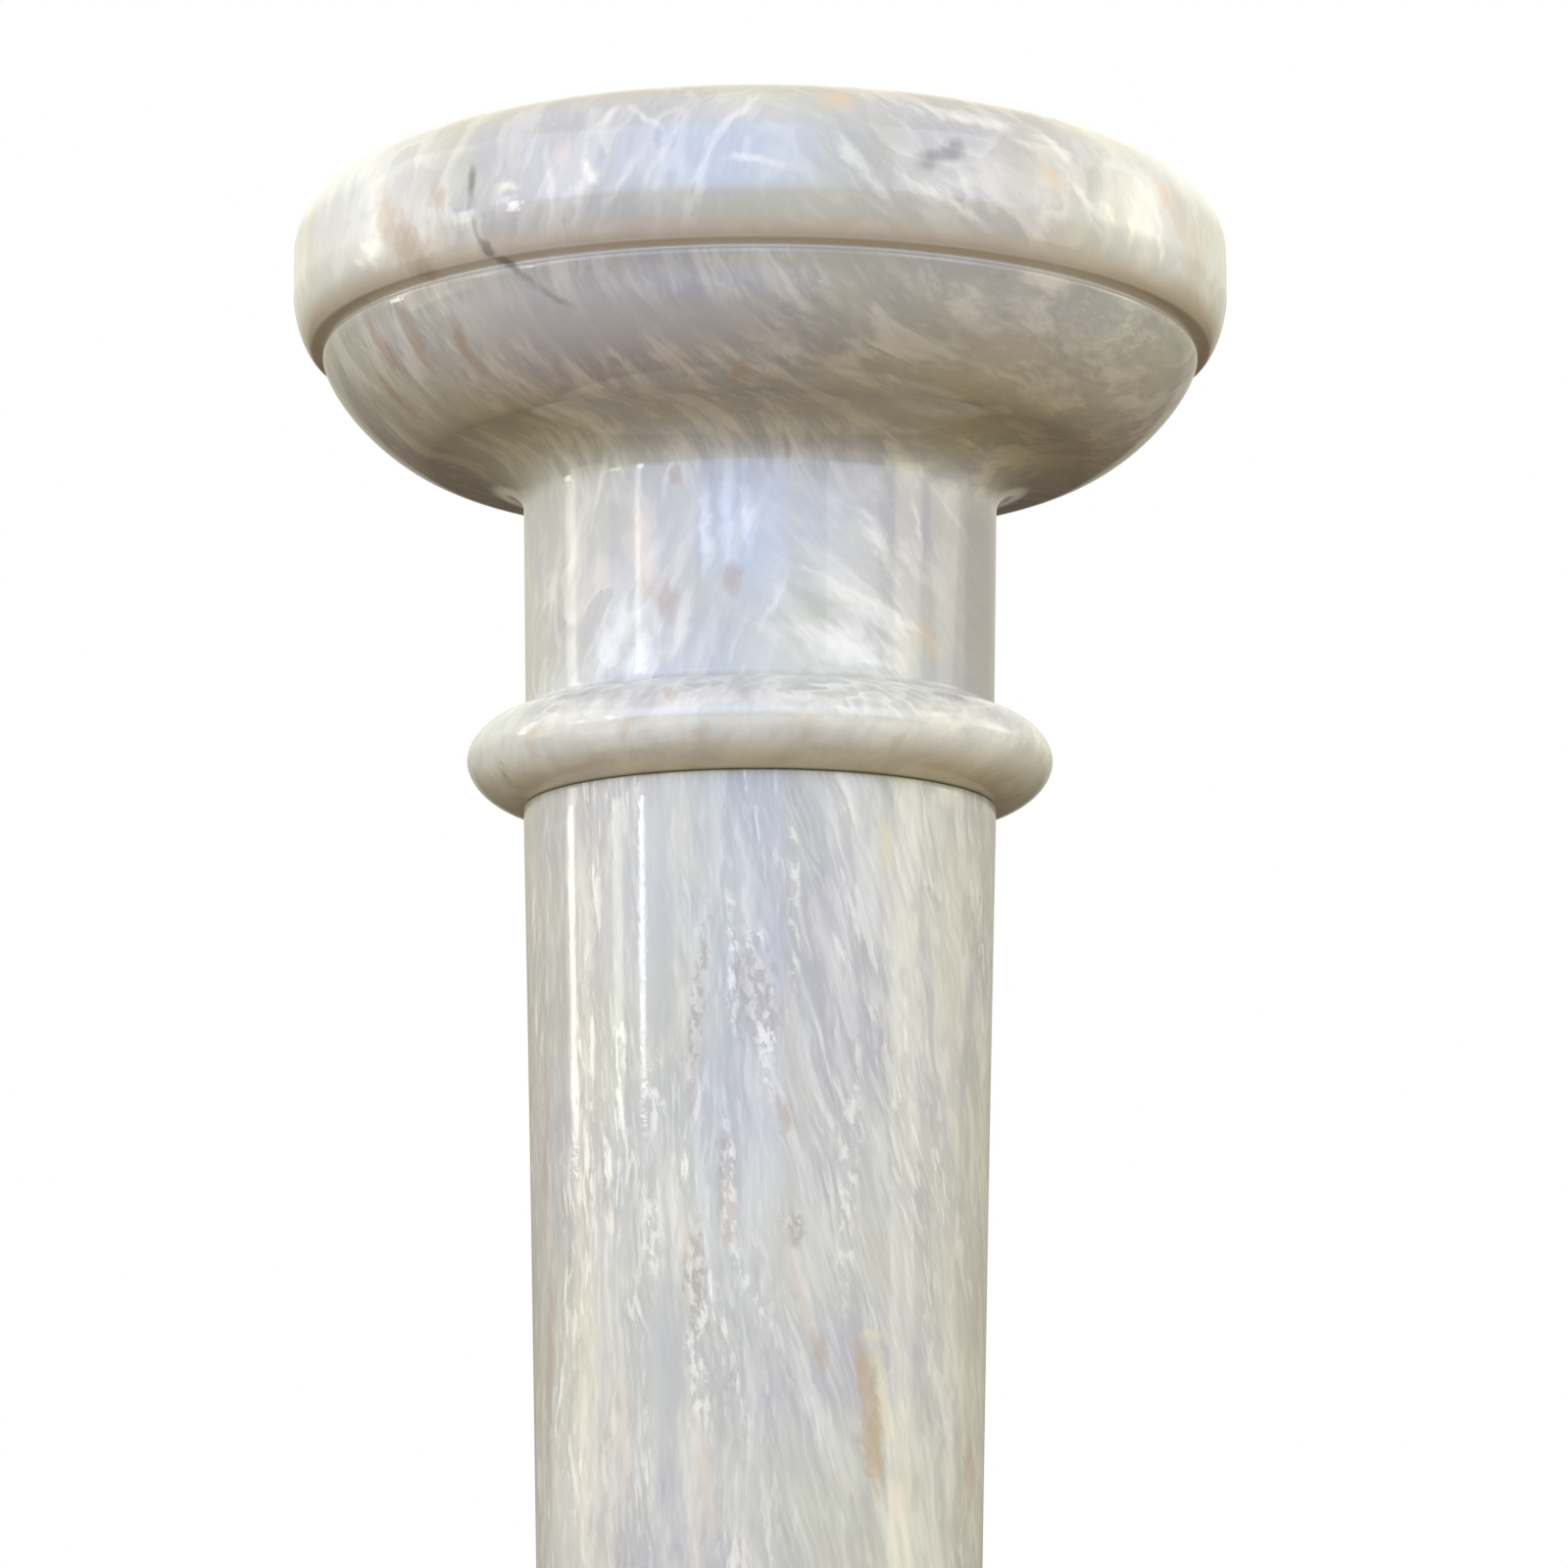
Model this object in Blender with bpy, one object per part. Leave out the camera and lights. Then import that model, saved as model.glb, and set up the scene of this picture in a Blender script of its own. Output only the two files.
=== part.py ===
"""Onyx column: a turned pedestal of three stone blocks, metres, +Z up.

The base stands on its flat underside, the shaft stands on the base, and the capital rests on the shaft.
The origin is the centre of the base's underside, and every block is turned about the Z axis.
"""

import math

import bmesh
import bpy

# Fit between the blocks
BED_GAP = 0.0003

# Capital, from its bed upwards: ring, neck, cove, bulge, quirk and lip
CAPITAL_RING_HEIGHT = 0.0250
CAPITAL_RING_PROJECTION = 0.0156
CAPITAL_RING_WIDEST_HEIGHT = 0.0127
NECK_SETBACK = 0.0004
NECK_FLARE = 0.0010
NECK_LENGTH = 0.0580
CAPITAL_COVE_WIDTH = 0.0258
CAPITAL_COVE_HEIGHT = 0.0135
BULGE_HEIGHT = 0.0295
QUIRK_DEPTH = 0.0012
QUIRK_HEIGHT = 0.0012
LIP_RADIUS = 0.1300
LIP_OVERHANG = 0.0082
LIP_SOFFIT_WIDTH = 0.0034
LIP_HEIGHT = 0.0468
LIP_UNDER_ROUND_HEIGHT = 0.0147
LIP_TOP_ROUND_WIDTH = 0.0278
LIP_TOP_ROUND_HEIGHT = 0.0188

# Shaft, wider at its head than at its foot
SHAFT_LENGTH = 0.7000
SHAFT_HEAD_RADIUS = 0.0650
SHAFT_FOOT_RADIUS = 0.0540

# Base, from the floor upwards: disc, step, cove and ring
BASE_RADIUS = 0.1380
BASE_DISC_HEIGHT = 0.0460
BASE_ARRIS_ROUND = 0.0040
BASE_SHOULDER_ROUND = 0.0180
BASE_STEP_INSET = 0.0060
BASE_STEP_HEIGHT = 0.0040
BASE_COVE_HEIGHT = 0.0480
BASE_NECK_PROJECTION = 0.0030
BASE_RING_HEIGHT = 0.0260
BASE_RING_PROJECTION = 0.0120

# Curvature of the turned mouldings: 2 is an ellipse, less is flatter, more is squarer
ELLIPSE = 2.0
RING_FULLNESS = 1.85
BULGE_FULLNESS = 1.42
LIP_UNDER_FULLNESS = 1.5
SHAFT_TAPER_CURVE = 1.75

# Fineness of the turned faces
TURN_STEPS = 64
ROUND_STEPS = 5
SHAFT_STEPS = 8
CREASE_ANGLE = math.radians(38)


def swell(start, end, fullness=ELLIPSE, steps=ROUND_STEPS):
    """Quarter round that leaves start level, moving outwards or inwards, and arrives at end upright."""
    points = []
    for step in range(1, steps + 1):
        turn = math.radians(90 * step / steps)
        across = math.sin(turn) ** (2 / fullness)
        up = 1 - math.cos(turn) ** (2 / fullness)
        points.append((start[0] + (end[0] - start[0]) * across, start[1] + (end[1] - start[1]) * up))
    return points


def hollow(start, end, fullness=ELLIPSE, steps=ROUND_STEPS):
    """Quarter round that leaves start upright and arrives at end level."""
    points = []
    for step in range(1, steps + 1):
        turn = math.radians(90 * step / steps)
        across = 1 - math.cos(turn) ** (2 / fullness)
        up = math.sin(turn) ** (2 / fullness)
        points.append((start[0] + (end[0] - start[0]) * across, start[1] + (end[1] - start[1]) * up))
    return points


def base_profile():
    """Radius and height of the base's outline, from the floor to the bed of the shaft."""
    disc_top = BASE_DISC_HEIGHT
    shoulder = BASE_RADIUS - BASE_SHOULDER_ROUND
    step_radius = shoulder - BASE_STEP_INSET
    step_top = disc_top + BASE_STEP_HEIGHT
    neck_radius = SHAFT_FOOT_RADIUS + BASE_NECK_PROJECTION
    cove_top = step_top + BASE_COVE_HEIGHT
    ring_middle = cove_top + BASE_RING_HEIGHT / 2
    ring_top = cove_top + BASE_RING_HEIGHT
    ring_radius = neck_radius + BASE_RING_PROJECTION

    points = [(BASE_RADIUS - BASE_ARRIS_ROUND, 0.0)]
    points += swell(points[-1], (BASE_RADIUS, BASE_ARRIS_ROUND), steps=2)
    points += [(BASE_RADIUS, disc_top - BASE_SHOULDER_ROUND)]
    points += hollow(points[-1], (shoulder, disc_top))
    points += [(step_radius, disc_top), (step_radius, step_top)]
    points += swell(points[-1], (neck_radius, cove_top))
    points += swell(points[-1], (ring_radius, ring_middle), RING_FULLNESS)
    points += hollow(points[-1], (SHAFT_FOOT_RADIUS, ring_top), RING_FULLNESS)
    return points


def shaft_profile():
    """Outline of the shaft: it narrows quickly below its head and more slowly towards its foot."""
    points = []
    for step in range(SHAFT_STEPS + 1):
        share = step / SHAFT_STEPS
        widening = (SHAFT_HEAD_RADIUS - SHAFT_FOOT_RADIUS) * share ** SHAFT_TAPER_CURVE
        points.append((SHAFT_FOOT_RADIUS + widening, SHAFT_LENGTH * share))
    return points


def capital_profile():
    """Outline of the capital, from its bed on the shaft to its flat top."""
    neck_foot = SHAFT_HEAD_RADIUS - NECK_SETBACK
    neck_head = neck_foot + NECK_FLARE
    ring_radius = SHAFT_HEAD_RADIUS + CAPITAL_RING_PROJECTION
    cove_foot = CAPITAL_RING_HEIGHT + NECK_LENGTH
    cove_end = (neck_head + CAPITAL_COVE_WIDTH, cove_foot + CAPITAL_COVE_HEIGHT)
    bulge_radius = LIP_RADIUS - LIP_OVERHANG
    bulge_top = cove_end[1] + BULGE_HEIGHT
    quirk_radius = bulge_radius - QUIRK_DEPTH
    lip_foot = bulge_top + QUIRK_HEIGHT
    lip_top = lip_foot + LIP_HEIGHT

    points = [(SHAFT_HEAD_RADIUS, 0.0)]
    points += swell(points[-1], (ring_radius, CAPITAL_RING_WIDEST_HEIGHT), RING_FULLNESS)
    points += hollow(points[-1], (neck_foot, CAPITAL_RING_HEIGHT), RING_FULLNESS)
    points += [(neck_head, cove_foot)]
    points += hollow(points[-1], cove_end)
    points += swell(points[-1], (bulge_radius, bulge_top), BULGE_FULLNESS, 2 * ROUND_STEPS)
    points += [(quirk_radius, bulge_top), (quirk_radius, lip_foot)]
    points += [(bulge_radius + LIP_SOFFIT_WIDTH, lip_foot)]
    points += swell(points[-1], (LIP_RADIUS, lip_foot + LIP_UNDER_ROUND_HEIGHT), LIP_UNDER_FULLNESS)
    points += [(LIP_RADIUS, lip_top - LIP_TOP_ROUND_HEIGHT)]
    points += hollow(points[-1], (LIP_RADIUS - LIP_TOP_ROUND_WIDTH, lip_top), steps=ROUND_STEPS + 2)
    return points


def turned_mesh(name, profile):
    """Turn an outline of (radius, height) points about Z into a closed block with flat ends."""
    rim = [(0.0, profile[0][1])] + profile + [(0.0, profile[-1][1])]
    block = bmesh.new()
    verts = [block.verts.new((radius, 0.0, height)) for radius, height in rim]
    edges = [block.edges.new(pair) for pair in zip(verts, verts[1:])]
    bmesh.ops.spin(
        block,
        geom=verts + edges,
        axis=(0.0, 0.0, 1.0),
        cent=(0.0, 0.0, 0.0),
        angle=math.tau,
        steps=TURN_STEPS,
        use_merge=True,
    )
    bmesh.ops.remove_doubles(block, verts=block.verts, dist=1e-6)
    bmesh.ops.recalc_face_normals(block, faces=block.faces)
    mesh = bpy.data.meshes.new(name)
    block.to_mesh(mesh)
    block.free()
    mesh.shade_smooth()
    mesh.set_sharp_from_angle(angle=CREASE_ANGLE)
    return mesh


def onyx(name, colour, roughness):
    """Polished stone in one colour."""
    material = bpy.data.materials.new(name)
    material.use_nodes = True
    shader = material.node_tree.nodes["Principled BSDF"]
    shader.inputs["Base Color"].default_value = (*colour, 1.0)
    shader.inputs["Roughness"].default_value = roughness
    shader.inputs["Metallic"].default_value = 0.0
    return material


def add_block(name, profile, height, material):
    """Place one turned block with its lower bed at the given height."""
    block = bpy.data.objects.new(name, turned_mesh(name, profile))
    block.data.materials.append(material)
    block.location = (0.0, 0.0, height)
    bpy.context.scene.collection.objects.link(block)
    return block


def main():
    for old in list(bpy.data.objects):
        bpy.data.objects.remove(old, do_unlink=True)

    base = base_profile()
    shaft = shaft_profile()
    capital = capital_profile()
    shaft_bed = base[-1][1] + BED_GAP
    capital_bed = shaft_bed + shaft[-1][1] + BED_GAP

    add_block("base", base, 0.0, onyx("base_onyx", (0.42, 0.41, 0.40), 0.22))
    add_block("shaft", shaft, shaft_bed, onyx("shaft_onyx", (0.44, 0.43, 0.43), 0.22))
    add_block("capital", capital, capital_bed, onyx("capital_onyx", (0.45, 0.43, 0.42), 0.22))


main()
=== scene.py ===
"""Looks of the onyx column: three turned and polished stone blocks, on a pale floor in soft light."""

import math

import bpy
from mathutils import Euler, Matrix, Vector


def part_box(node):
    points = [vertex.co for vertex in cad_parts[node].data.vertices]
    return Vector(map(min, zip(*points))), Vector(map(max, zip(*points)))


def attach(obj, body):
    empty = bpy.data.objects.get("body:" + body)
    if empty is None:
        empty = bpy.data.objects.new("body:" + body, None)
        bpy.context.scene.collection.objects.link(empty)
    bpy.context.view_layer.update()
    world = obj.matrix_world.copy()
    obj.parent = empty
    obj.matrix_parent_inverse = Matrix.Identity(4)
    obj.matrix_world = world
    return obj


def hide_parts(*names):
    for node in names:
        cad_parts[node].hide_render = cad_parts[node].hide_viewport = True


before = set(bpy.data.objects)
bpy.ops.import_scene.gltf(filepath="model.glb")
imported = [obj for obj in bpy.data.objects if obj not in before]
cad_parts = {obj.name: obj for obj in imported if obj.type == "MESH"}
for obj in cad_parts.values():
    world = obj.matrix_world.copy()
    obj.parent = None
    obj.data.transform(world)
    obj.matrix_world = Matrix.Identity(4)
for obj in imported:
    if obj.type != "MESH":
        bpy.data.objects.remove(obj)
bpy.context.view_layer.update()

# Where the blocks stand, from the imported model
BASE_LOW, BASE_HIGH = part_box("base")
SHAFT_LOW, SHAFT_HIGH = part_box("shaft")
CAPITAL_LOW, CAPITAL_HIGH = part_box("capital")

# Sizes of the capital's mouldings, as they are cut in the stone
LIP_RADIUS = CAPITAL_HIGH.x
LIP_OVERHANG = 0.0082
LIP_SOFFIT_WIDTH = 0.0034
LIP_SOFFIT_RISE = 0.0008
LIP_UNDER_ROUND_HEIGHT = 0.0147
LIP_TOP_ROUND_WIDTH = 0.0278
LIP_TOP_ROUND_HEIGHT = 0.0188
QUIRK_DEPTH = 0.0007
QUIRK_FLARE = 0.0004
QUIRK_MIDDLE = 0.0006
QUIRK_HEIGHT = 0.0012
BULGE_HEIGHT = 0.0295
COVE_WIDTH = 0.0258
COVE_HEIGHT = 0.0135
NECK_LENGTH = 0.0580
NECK_SETBACK = 0.0004
NECK_FLARE = 0.0010
RING_HEIGHT = 0.0250
RING_WIDEST_HEIGHT = 0.0127
RING_PROJECTION = 0.0156

# Sizes of the shaft
SHAFT_HEAD_RADIUS = SHAFT_HIGH.x
SHAFT_FOOT_RADIUS = 0.0540

# Sizes of the base's mouldings
BASE_RADIUS = BASE_HIGH.x
BASE_DISC_HEIGHT = 0.0460
BASE_ARRIS_ROUND = 0.0040
BASE_SHOULDER_ROUND = 0.0180
BASE_STEP_INSET = 0.0060
BASE_STEP_HEIGHT = 0.0040
BASE_COVE_HEIGHT = 0.0480
BASE_NECK_PROJECTION = 0.0030
BASE_RING_WIDEST_HEIGHT = 0.0130
BASE_RING_PROJECTION = 0.0120

# Curvature of the turned mouldings: 2 is an ellipse, less is flatter, more is squarer
ELLIPSE = 2.0
RING_FULLNESS = 1.85
BULGE_FULLNESS = 1.42
LIP_UNDER_FULLNESS = 1.5
SHAFT_TAPER_CURVE = 1.75

# Fineness of the turned surfaces: polished faces, hidden beds, the flat top and the narrow flats
TURN_STEPS = 256
SHAFT_STEPS = 90
SURFACE_STEP = 0.0022
BED_STEP = 0.012
TOP_STEP = 0.010
SOFFIT_STEP = 0.0008
RISER_STEP = 0.0015

# Points of a turned block nearer to each other than this are one point, at the seam and on the axis
WELD = 2e-6

# Small round that eases each arris
ARRIS = 0.0005
ARRIS_STEPS = 3

# Ripple that polishing by hand leaves in the faces
RIPPLE_HEIGHT = 0.00006
RIPPLE_LENGTH = 0.035


def swell(start, end, fullness=ELLIPSE, *, steps):
    """Quarter round that leaves start level and arrives at end upright."""
    points = []
    for step in range(1, steps + 1):
        turn = math.radians(90 * step / steps)
        across = math.sin(turn) ** (2 / fullness)
        up = 1 - math.cos(turn) ** (2 / fullness)
        points.append((start[0] + (end[0] - start[0]) * across, start[1] + (end[1] - start[1]) * up))
    return points


def hollow(start, end, fullness=ELLIPSE, *, steps):
    """Quarter round that leaves start upright and arrives at end level."""
    points = []
    for step in range(1, steps + 1):
        turn = math.radians(90 * step / steps)
        across = 1 - math.cos(turn) ** (2 / fullness)
        up = math.sin(turn) ** (2 / fullness)
        points.append((start[0] + (end[0] - start[0]) * across, start[1] + (end[1] - start[1]) * up))
    return points


def straight(start, end, step=SURFACE_STEP):
    """Evenly spaced points after start, up to end."""
    length = math.dist(start, end)
    count = max(1, round(length / step))
    return [
        (start[0] + (end[0] - start[0]) * i / count, start[1] + (end[1] - start[1]) * i / count)
        for i in range(1, count + 1)
    ]


def capital_outline():
    """Ring, neck, cove, bulge, quirk and lip, from the bed on the shaft to the flat top."""
    bed = CAPITAL_LOW.z
    top = CAPITAL_HIGH.z
    neck_foot = SHAFT_HEAD_RADIUS - NECK_SETBACK
    neck_head = neck_foot + NECK_FLARE
    ring_top = bed + RING_HEIGHT
    cove_foot = ring_top + NECK_LENGTH
    cove_end = (neck_head + COVE_WIDTH, cove_foot + COVE_HEIGHT)
    bulge_radius = LIP_RADIUS - LIP_OVERHANG
    bulge_top = cove_end[1] + BULGE_HEIGHT
    quirk_radius = bulge_radius - QUIRK_DEPTH
    lip_foot = bulge_top + QUIRK_HEIGHT
    soffit_radius = bulge_radius + LIP_SOFFIT_WIDTH

    points = [(0.0, bed)]
    points += straight(points[-1], (SHAFT_HEAD_RADIUS - ARRIS, bed), BED_STEP)
    ring_widest = (SHAFT_HEAD_RADIUS + RING_PROJECTION, bed + RING_WIDEST_HEIGHT)
    points += swell(points[-1], ring_widest, RING_FULLNESS, steps=18)
    points += hollow(points[-1], (neck_foot, ring_top), RING_FULLNESS, steps=18)
    points += straight(points[-1], (neck_head, cove_foot))
    points += hollow(points[-1], cove_end, steps=14)
    points += swell(points[-1], (bulge_radius, bulge_top - ARRIS), BULGE_FULLNESS, steps=26)
    points += hollow(points[-1], (quirk_radius, bulge_top + QUIRK_MIDDLE), steps=6)
    points += hollow(points[-1], (quirk_radius + QUIRK_FLARE, lip_foot), steps=ARRIS_STEPS)
    points += straight(points[-1], (soffit_radius - ARRIS, lip_foot + LIP_SOFFIT_RISE), SOFFIT_STEP)
    lip_widest = (LIP_RADIUS, lip_foot + LIP_UNDER_ROUND_HEIGHT)
    points += swell(points[-1], lip_widest, LIP_UNDER_FULLNESS, steps=14)
    points += straight(points[-1], (LIP_RADIUS, top - LIP_TOP_ROUND_HEIGHT))
    points += hollow(points[-1], (LIP_RADIUS - LIP_TOP_ROUND_WIDTH, top), steps=20)
    points += straight(points[-1], (0.0, top), TOP_STEP)
    return points


def shaft_outline():
    """The tapering shaft, with its two arrises eased."""
    foot = SHAFT_LOW.z
    head = SHAFT_HIGH.z
    points = [(0.0, foot)]
    points += straight(points[-1], (SHAFT_FOOT_RADIUS - ARRIS, foot), BED_STEP)
    for step in range(SHAFT_STEPS + 1):
        share = step / SHAFT_STEPS
        widening = (SHAFT_HEAD_RADIUS - SHAFT_FOOT_RADIUS) * share ** SHAFT_TAPER_CURVE
        height = min(max(foot + (head - foot) * share, foot + ARRIS), head - ARRIS)
        points.append((SHAFT_FOOT_RADIUS + widening, height))
    points += hollow(points[-1], (SHAFT_HEAD_RADIUS - ARRIS, head), steps=ARRIS_STEPS)
    points += straight(points[-1], (0.0, head), BED_STEP)
    return points


def base_outline():
    """Disc, step, cove and ring, from the floor to the bed of the shaft."""
    shoulder = BASE_RADIUS - BASE_SHOULDER_ROUND
    step_radius = shoulder - BASE_STEP_INSET
    step_top = BASE_DISC_HEIGHT + BASE_STEP_HEIGHT
    neck_radius = SHAFT_FOOT_RADIUS + BASE_NECK_PROJECTION
    cove_top = step_top + BASE_COVE_HEIGHT
    ring_top = BASE_HIGH.z

    points = [(0.0, 0.0)]
    points += straight(points[-1], (BASE_RADIUS - BASE_ARRIS_ROUND, 0.0), BED_STEP)
    points += swell(points[-1], (BASE_RADIUS, BASE_ARRIS_ROUND), steps=6)
    points += straight(points[-1], (BASE_RADIUS, BASE_DISC_HEIGHT - BASE_SHOULDER_ROUND))
    points += hollow(points[-1], (shoulder, BASE_DISC_HEIGHT), steps=14)
    points += straight(points[-1], (step_radius, BASE_DISC_HEIGHT))
    points += straight(points[-1], (step_radius, step_top - ARRIS), RISER_STEP)
    points += hollow(points[-1], (step_radius - ARRIS, step_top), steps=ARRIS_STEPS)
    points += swell(points[-1], (neck_radius, cove_top), steps=26)
    ring_widest = (neck_radius + BASE_RING_PROJECTION, cove_top + BASE_RING_WIDEST_HEIGHT)
    points += swell(points[-1], ring_widest, RING_FULLNESS, steps=14)
    points += hollow(points[-1], (SHAFT_FOOT_RADIUS - ARRIS, ring_top), RING_FULLNESS, steps=14)
    points += straight(points[-1], (0.0, ring_top), BED_STEP)
    return points


def add_node(tree, kind, inputs=None, **settings):
    """Add a node, with its settings and its inputs, each a value or another node's output."""
    made = tree.nodes.new(kind)
    for key, value in settings.items():
        setattr(made, key, value)
    for key, value in (inputs or {}).items():
        if isinstance(value, bpy.types.NodeSocket):
            tree.links.new(value, made.inputs[key])
        else:
            made.inputs[key].default_value = value
    return made


def math_node(tree, kind, operation, *values):
    """One sum of the Math or Vector Math kind; gives its output."""
    made = add_node(tree, kind, operation=operation)
    for socket, value in zip(made.inputs, values):
        if isinstance(value, bpy.types.NodeSocket):
            tree.links.new(value, socket)
        else:
            socket.default_value = value
    return made.outputs[0]


def rise(tree, value, low, high):
    """0 below low, 1 above high, with a soft rise between them."""
    return add_node(
        tree,
        "ShaderNodeMapRange",
        {"Value": value, "From Min": low, "From Max": high},
        interpolation_type="SMOOTHSTEP",
    ).outputs[0]


def mix_colours(tree, amount, first, second):
    """Mix of two colours, each a value or another node's output."""
    mix = add_node(tree, "ShaderNodeMix", {"Factor": amount}, data_type="RGBA")
    for socket, colour in ((mix.inputs[6], first), (mix.inputs[7], second)):
        if isinstance(colour, bpy.types.NodeSocket):
            tree.links.new(colour, socket)
        else:
            socket.default_value = (*colour, 1.0)
    return mix.outputs[2]


def lathe_tree():
    """Geometry tree that turns an outline about Z, closes it and gives it a hand-polished ripple."""
    tree = bpy.data.node_groups.new("lathe", "GeometryNodeTree")
    face = tree.interface
    face.new_socket("Outline", in_out="INPUT", socket_type="NodeSocketGeometry")
    steps = face.new_socket("Turn Steps", in_out="INPUT", socket_type="NodeSocketInt")
    ripple = face.new_socket("Ripple Height", in_out="INPUT", socket_type="NodeSocketFloat")
    length = face.new_socket("Ripple Length", in_out="INPUT", socket_type="NodeSocketFloat")
    seed = face.new_socket("Ripple Seed", in_out="INPUT", socket_type="NodeSocketFloat")
    stone = face.new_socket("Stone", in_out="INPUT", socket_type="NodeSocketMaterial")
    face.new_socket("Block", in_out="OUTPUT", socket_type="NodeSocketGeometry")
    inputs = add_node(tree, "NodeGroupInput").outputs
    value = "ShaderNodeMath"
    vector = "ShaderNodeVectorMath"

    count = add_node(
        tree, "GeometryNodeAttributeDomainSize", {"Geometry": inputs["Outline"]}
    ).outputs["Point Count"]
    columns = math_node(tree, value, "ADD", inputs["Turn Steps"], 1.0)
    grid = add_node(tree, "GeometryNodeMeshGrid", {"Vertices X": columns, "Vertices Y": count})
    index = add_node(tree, "GeometryNodeInputIndex").outputs[0]
    row = math_node(tree, value, "MODULO", index, count)
    column = math_node(tree, value, "FLOOR", math_node(tree, value, "DIVIDE", index, count))
    share = math_node(tree, value, "DIVIDE", column, inputs["Turn Steps"])
    angle = math_node(tree, value, "MULTIPLY", share, math.tau)
    place = add_node(
        tree,
        "GeometryNodeSampleIndex",
        {"Geometry": inputs["Outline"], "Index": row},
        data_type="FLOAT_VECTOR",
    )
    tree.links.new(add_node(tree, "GeometryNodeInputPosition").outputs[0], place.inputs["Value"])
    part = add_node(tree, "ShaderNodeSeparateXYZ", {"Vector": place.outputs["Value"]}).outputs
    spot = add_node(
        tree,
        "ShaderNodeCombineXYZ",
        {
            "X": math_node(tree, value, "MULTIPLY", part["X"], math_node(tree, value, "COSINE", angle)),
            "Y": math_node(tree, value, "MULTIPLY", part["X"], math_node(tree, value, "SINE", angle)),
            "Z": part["Z"],
        },
    ).outputs[0]
    turned = add_node(
        tree, "GeometryNodeSetPosition", {"Geometry": grid.outputs["Mesh"], "Position": spot}
    ).outputs[0]
    closed = add_node(
        tree, "GeometryNodeMergeByDistance", {"Geometry": turned, "Distance": WELD}
    ).outputs[0]

    where = add_node(tree, "GeometryNodeInputPosition").outputs[0]
    spread = math_node(tree, value, "DIVIDE", 1.0, inputs["Ripple Length"])
    bumps = add_node(
        tree,
        "ShaderNodeTexNoise",
        {"Vector": where, "W": inputs["Ripple Seed"], "Scale": spread, "Detail": 1.0},
        noise_dimensions="4D",
    ).outputs[0]
    inward = math_node(tree, value, "MULTIPLY", math_node(tree, value, "SUBTRACT", bumps, 1.0),
                       inputs["Ripple Height"])
    flat_normal = math_node(tree, vector, "MULTIPLY",
                            add_node(tree, "GeometryNodeInputNormal").outputs[0], (1.0, 1.0, 0.0))
    scale = add_node(tree, vector, {0: flat_normal}, operation="SCALE")
    tree.links.new(inward, scale.inputs["Scale"])
    rippled = add_node(
        tree, "GeometryNodeSetPosition", {"Geometry": closed, "Offset": scale.outputs[0]}
    ).outputs[0]
    smooth = add_node(
        tree, "GeometryNodeSetShadeSmooth", {"Geometry": rippled, "Shade Smooth": True}
    ).outputs[0]
    whole = add_node(tree, "GeometryNodeRealizeInstances", {"Geometry": smooth}).outputs[0]
    painted = add_node(
        tree, "GeometryNodeSetMaterial", {"Geometry": whole, "Material": inputs["Stone"]}
    ).outputs[0]
    add_node(tree, "NodeGroupOutput", {"Block": painted})
    return tree, {
        "Turn Steps": steps.identifier,
        "Ripple Height": ripple.identifier,
        "Ripple Length": length.identifier,
        "Ripple Seed": seed.identifier,
        "Stone": stone.identifier,
    }


LATHE, LATHE_INPUTS = lathe_tree()


def turned_block(name, outline, node, stone, seed):
    """Turn one block of the column, and let it stand for its CAD node."""
    mesh = bpy.data.meshes.new(name + "_outline")
    verts = [(radius, 0.0, height) for radius, height in outline]
    mesh.from_pydata(verts, [(i, i + 1) for i in range(len(verts) - 1)], [])
    block = bpy.data.objects.new(name, mesh)
    bpy.context.scene.collection.objects.link(block)
    turning = block.modifiers.new("lathe", "NODES")
    turning.node_group = LATHE
    settings = {
        "Turn Steps": TURN_STEPS,
        "Ripple Height": RIPPLE_HEIGHT,
        "Ripple Length": RIPPLE_LENGTH,
        "Ripple Seed": float(seed),
        "Stone": stone,
    }
    for label, value in settings.items():
        turning[LATHE_INPUTS[label]] = value
    bpy.context.view_layer.update()
    shape = bpy.data.meshes.new_from_object(block.evaluated_get(bpy.context.evaluated_depsgraph_get()))
    block.modifiers.remove(turning)
    block.data = shape
    shape.name = name
    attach(block, "root")
    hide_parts(node)
    return block


# Sizes of the stone's features: waves of the grain and how far they shift it
EDGE_WAVE = 0.006
EDGE_SHIFT = 0.0022
BEND_WAVE = 0.050
RAGGED_WAVE = 0.0035
RAGGED_SHIFT = 0.0011
VEIL_WAVE = 0.030
VEIL_SHIFT = 0.009

# Widths of its clouds, bands, fibres and flecks
CLOUD = 0.060
BAND = 0.010
FIBRE = 0.0016
FEATHER_FIBRE = 0.0018
TRAIN = 0.015
FLECK = 0.0026
FINE_FLECK = 0.0012
VEIL_FIBRE = 0.0035
VEIL_PATCH = 0.028
STAIN = 0.0050
STAINED_PATCH = 0.045
SHAFT_GRAIN = 0.0022
SHAFT_ROW = 0.0075

# How strongly a feather's edge is frayed, and how far beside a fleck its shade lies, in its widths
FEATHER_FRAY = 0.35
FLANK_SHIFT = 0.45

# Depth of the ovals that mark the surface, and how far around one its edge may be frayed, in half widths
MARK_DEPTH = 0.02
REACH = 0.7


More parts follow.
